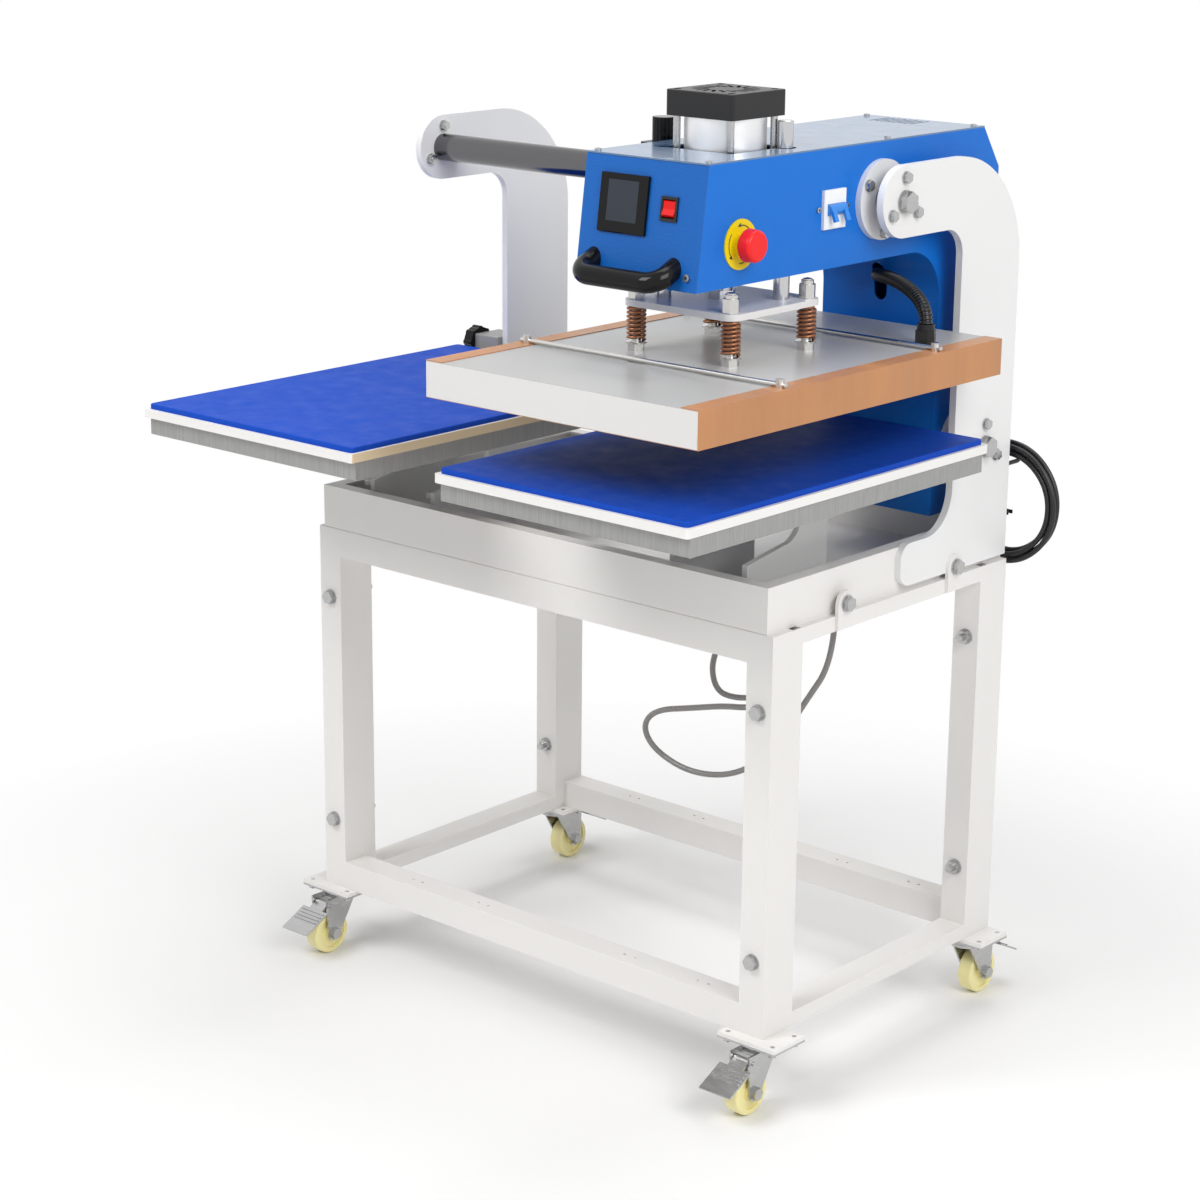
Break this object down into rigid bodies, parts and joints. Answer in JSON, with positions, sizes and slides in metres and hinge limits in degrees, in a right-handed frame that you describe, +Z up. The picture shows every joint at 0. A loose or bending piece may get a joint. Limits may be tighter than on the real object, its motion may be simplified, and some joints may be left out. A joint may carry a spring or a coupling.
{
  "type": "dual station heat press",
  "caption": "Dual station pneumatic heat press: a sliding press head on two shafts over paired padded boards, on an open tube stand with braked casters.",
  "frame": {"origin": "centre of the box at the floor, measured without the hose and the lead", "axes": "+X to the right along both stations, +Y to the back, +Z up"},
  "size_m": [0.955, 0.8227, 1.283],
  "materials": {
    "cream_paint": "satin",
    "white_paint": "satin",
    "polished_steel": "polished",
    "zinc_steel": "bright zinc",
    "grey_cast": "plain",
    "white_board": "plain",
    "blue_pad": "plain",
    "black_plastic": "plain",
    "blue_paint": "fine texture",
    "grey_blue_paint": "plain",
    "steel": "plain",
    "aluminium": "plain",
    "red_plastic": "plain",
    "yellow_plastic": "plain",
    "white_plastic": "plain",
    "blue_plastic": "plain",
    "grey_paint": "plain",
    "copper_fabric": "plain",
    "spring_bronze": "plain",
    "hose_grey": "plain",
    "black_rubber": "plain",
    "cream_wheel": "plain"
  },
  "bodies": {
    "base": {"front_frame": "cream_paint", "rear_frame": "cream_paint", "side_frames": "cream_paint", "frame_bolts": "zinc_steel", "caster_mounts": "zinc_steel", "base_tray": "cream_paint", "left_side_plate": "white_paint", "right_side_plate": "white_paint", "slide_shafts": "polished_steel", "station_supports": "white_paint", "platens": "grey_cast", "boards": "white_board", "pads": "blue_pad", "stop_bracket": "grey_cast", "cord_fittings": "black_plastic", "air_hose": "hose_grey", "mains_lead": "black_rubber", "mains_plug": "black_plastic"},
    "carriage": {"carriage_casing": "blue_paint", "front_panel": "blue_paint", "top_cover": "grey_blue_paint", "cylinder_mount": "steel", "cylinder_barrel": "aluminium", "cylinder_cap": "black_plastic", "bearing_flanges": "white_paint", "carriage_fasteners": "zinc_steel", "handle": "black_plastic", "screen": "black_plastic", "rocker_frame": "black_plastic", "estop_housing": "yellow_plastic", "breaker": "white_plastic", "regulator_body": "black_plastic", "conduit": "black_plastic"},
    "heater": {"heater_plate": "aluminium", "heater_cover": "grey_paint", "ptfe_sheet": "copper_fabric", "heater_fasteners": "zinc_steel", "heater_gland": "black_plastic", "press_springs": "spring_bronze"},
    "press_frame": {"press_plate": "white_paint", "piston_rod": "polished_steel", "guide_posts": "polished_steel"},
    "estop_button": {"estop_button": "red_plastic"},
    "power_rocker": {"rocker": "red_plastic"},
    "breaker_lever": {"breaker_lever": "blue_plastic"},
    "regulator_knob": {"regulator_knob": "black_plastic"},
    "stop_knob": {"stop_knob": "black_plastic"},
    "fork_front_left": {"fork_front_left": "zinc_steel"},
    "wheel_front_left": {"wheel_front_left": "cream_wheel"},
    "pedal_front_left": {"pedal_front_left": "zinc_steel"},
    "fork_front_right": {"fork_front_right": "zinc_steel"},
    "wheel_front_right": {"wheel_front_right": "cream_wheel"},
    "pedal_front_right": {"pedal_front_right": "zinc_steel"},
    "fork_rear_left": {"fork_rear_left": "zinc_steel"},
    "wheel_rear_left": {"wheel_rear_left": "cream_wheel"},
    "pedal_rear_left": {"pedal_rear_left": "zinc_steel"},
    "fork_rear_right": {"fork_rear_right": "zinc_steel"},
    "wheel_rear_right": {"wheel_rear_right": "cream_wheel"},
    "pedal_rear_right": {"pedal_rear_right": "zinc_steel"}
  },
  "joints": [
    {"name": "carriage_slide", "type": "slide", "parent": "base", "child": "carriage", "axis": [1, 0, 0], "range_m": [-0.543, 0]},
    {"name": "heater_lift", "type": "slide", "parent": "carriage", "child": "heater", "axis": [0, 0, 1], "range_m": [-0.0845, 0], "stiffness_N_per_m": 400, "springref_m": 1, "deforming": ["conduit"]},
    {"name": "press_follow", "type": "slide", "parent": "heater", "child": "press_frame", "axis": [0, 0, 1], "range_m": [-0.006, 0], "stiffness_N_per_m": 20000, "springref_m": 0.005, "deforming": ["press_springs"]},
    {"name": "estop_push", "type": "slide", "parent": "carriage", "child": "estop_button", "axis": [1, 0, 0], "range_m": [-0.004, 0], "stiffness_N_per_m": 1500, "springref_m": 0.003},
    {"name": "power_rock", "type": "hinge", "parent": "carriage", "child": "power_rocker", "pos_m": [0.308, -0.2586, 1.15747], "axis": [1, 0, 0], "range_deg": [0, 20]},
    {"name": "breaker_flip", "type": "hinge", "parent": "carriage", "child": "breaker_lever", "pos_m": [0.3625, -0.01425, 1.139], "axis": [0, 1, 0], "range_deg": [-72, 0]},
    {"name": "regulator_turn", "type": "hinge", "parent": "carriage", "child": "regulator_knob", "pos_m": [0.146, -0.083, 1.225], "axis": [0, 0, 1], "range_deg": [-180, 180]},
    {"name": "stop_knob_turn", "type": "hinge", "parent": "base", "child": "stop_knob", "pos_m": [-0.462, 0.216, 0.838], "axis": [1, 0, 0], "range_deg": [-180, 180]},
    {"name": "swivel_front_left", "type": "hinge", "parent": "base", "child": "fork_front_left", "pos_m": [-0.3945, -0.145, 0.082], "axis": [0, 0, 1], "continuous": true},
    {"name": "roll_front_left", "type": "hinge", "parent": "fork_front_left", "child": "wheel_front_left", "pos_m": [-0.3945, -0.175, 0.0315], "axis": [1, 0, 0], "continuous": true},
    {"name": "brake_front_left", "type": "hinge", "parent": "fork_front_left", "child": "pedal_front_left", "pos_m": [-0.3945, -0.181, 0.074], "axis": [1, 0, 0], "range_deg": [0, 14]},
    {"name": "swivel_front_right", "type": "hinge", "parent": "base", "child": "fork_front_right", "pos_m": [0.3825, -0.145, 0.082], "axis": [0, 0, 1], "continuous": true},
    {"name": "roll_front_right", "type": "hinge", "parent": "fork_front_right", "child": "wheel_front_right", "pos_m": [0.3825, -0.175, 0.0315], "axis": [1, 0, 0], "continuous": true},
    {"name": "brake_front_right", "type": "hinge", "parent": "fork_front_right", "child": "pedal_front_right", "pos_m": [0.3825, -0.181, 0.074], "axis": [1, 0, 0], "range_deg": [0, 14]},
    {"name": "swivel_rear_left", "type": "hinge", "parent": "base", "child": "fork_rear_left", "pos_m": [-0.3945, 0.318, 0.082], "axis": [0, 0, 1], "continuous": true},
    {"name": "roll_rear_left", "type": "hinge", "parent": "fork_rear_left", "child": "wheel_rear_left", "pos_m": [-0.3945, 0.348, 0.0315], "axis": [1, 0, 0], "continuous": true},
    {"name": "brake_rear_left", "type": "hinge", "parent": "fork_rear_left", "child": "pedal_rear_left", "pos_m": [-0.3945, 0.354, 0.074], "axis": [1, 0, 0], "range_deg": [-14, 0]},
    {"name": "swivel_rear_right", "type": "hinge", "parent": "base", "child": "fork_rear_right", "pos_m": [0.3825, 0.318, 0.082], "axis": [0, 0, 1], "continuous": true},
    {"name": "roll_rear_right", "type": "hinge", "parent": "fork_rear_right", "child": "wheel_rear_right", "pos_m": [0.3825, 0.348, 0.0315], "axis": [1, 0, 0], "continuous": true},
    {"name": "brake_rear_right", "type": "hinge", "parent": "fork_rear_right", "child": "pedal_rear_right", "pos_m": [0.3825, 0.354, 0.074], "axis": [1, 0, 0], "range_deg": [-14, 0]}
  ]
}
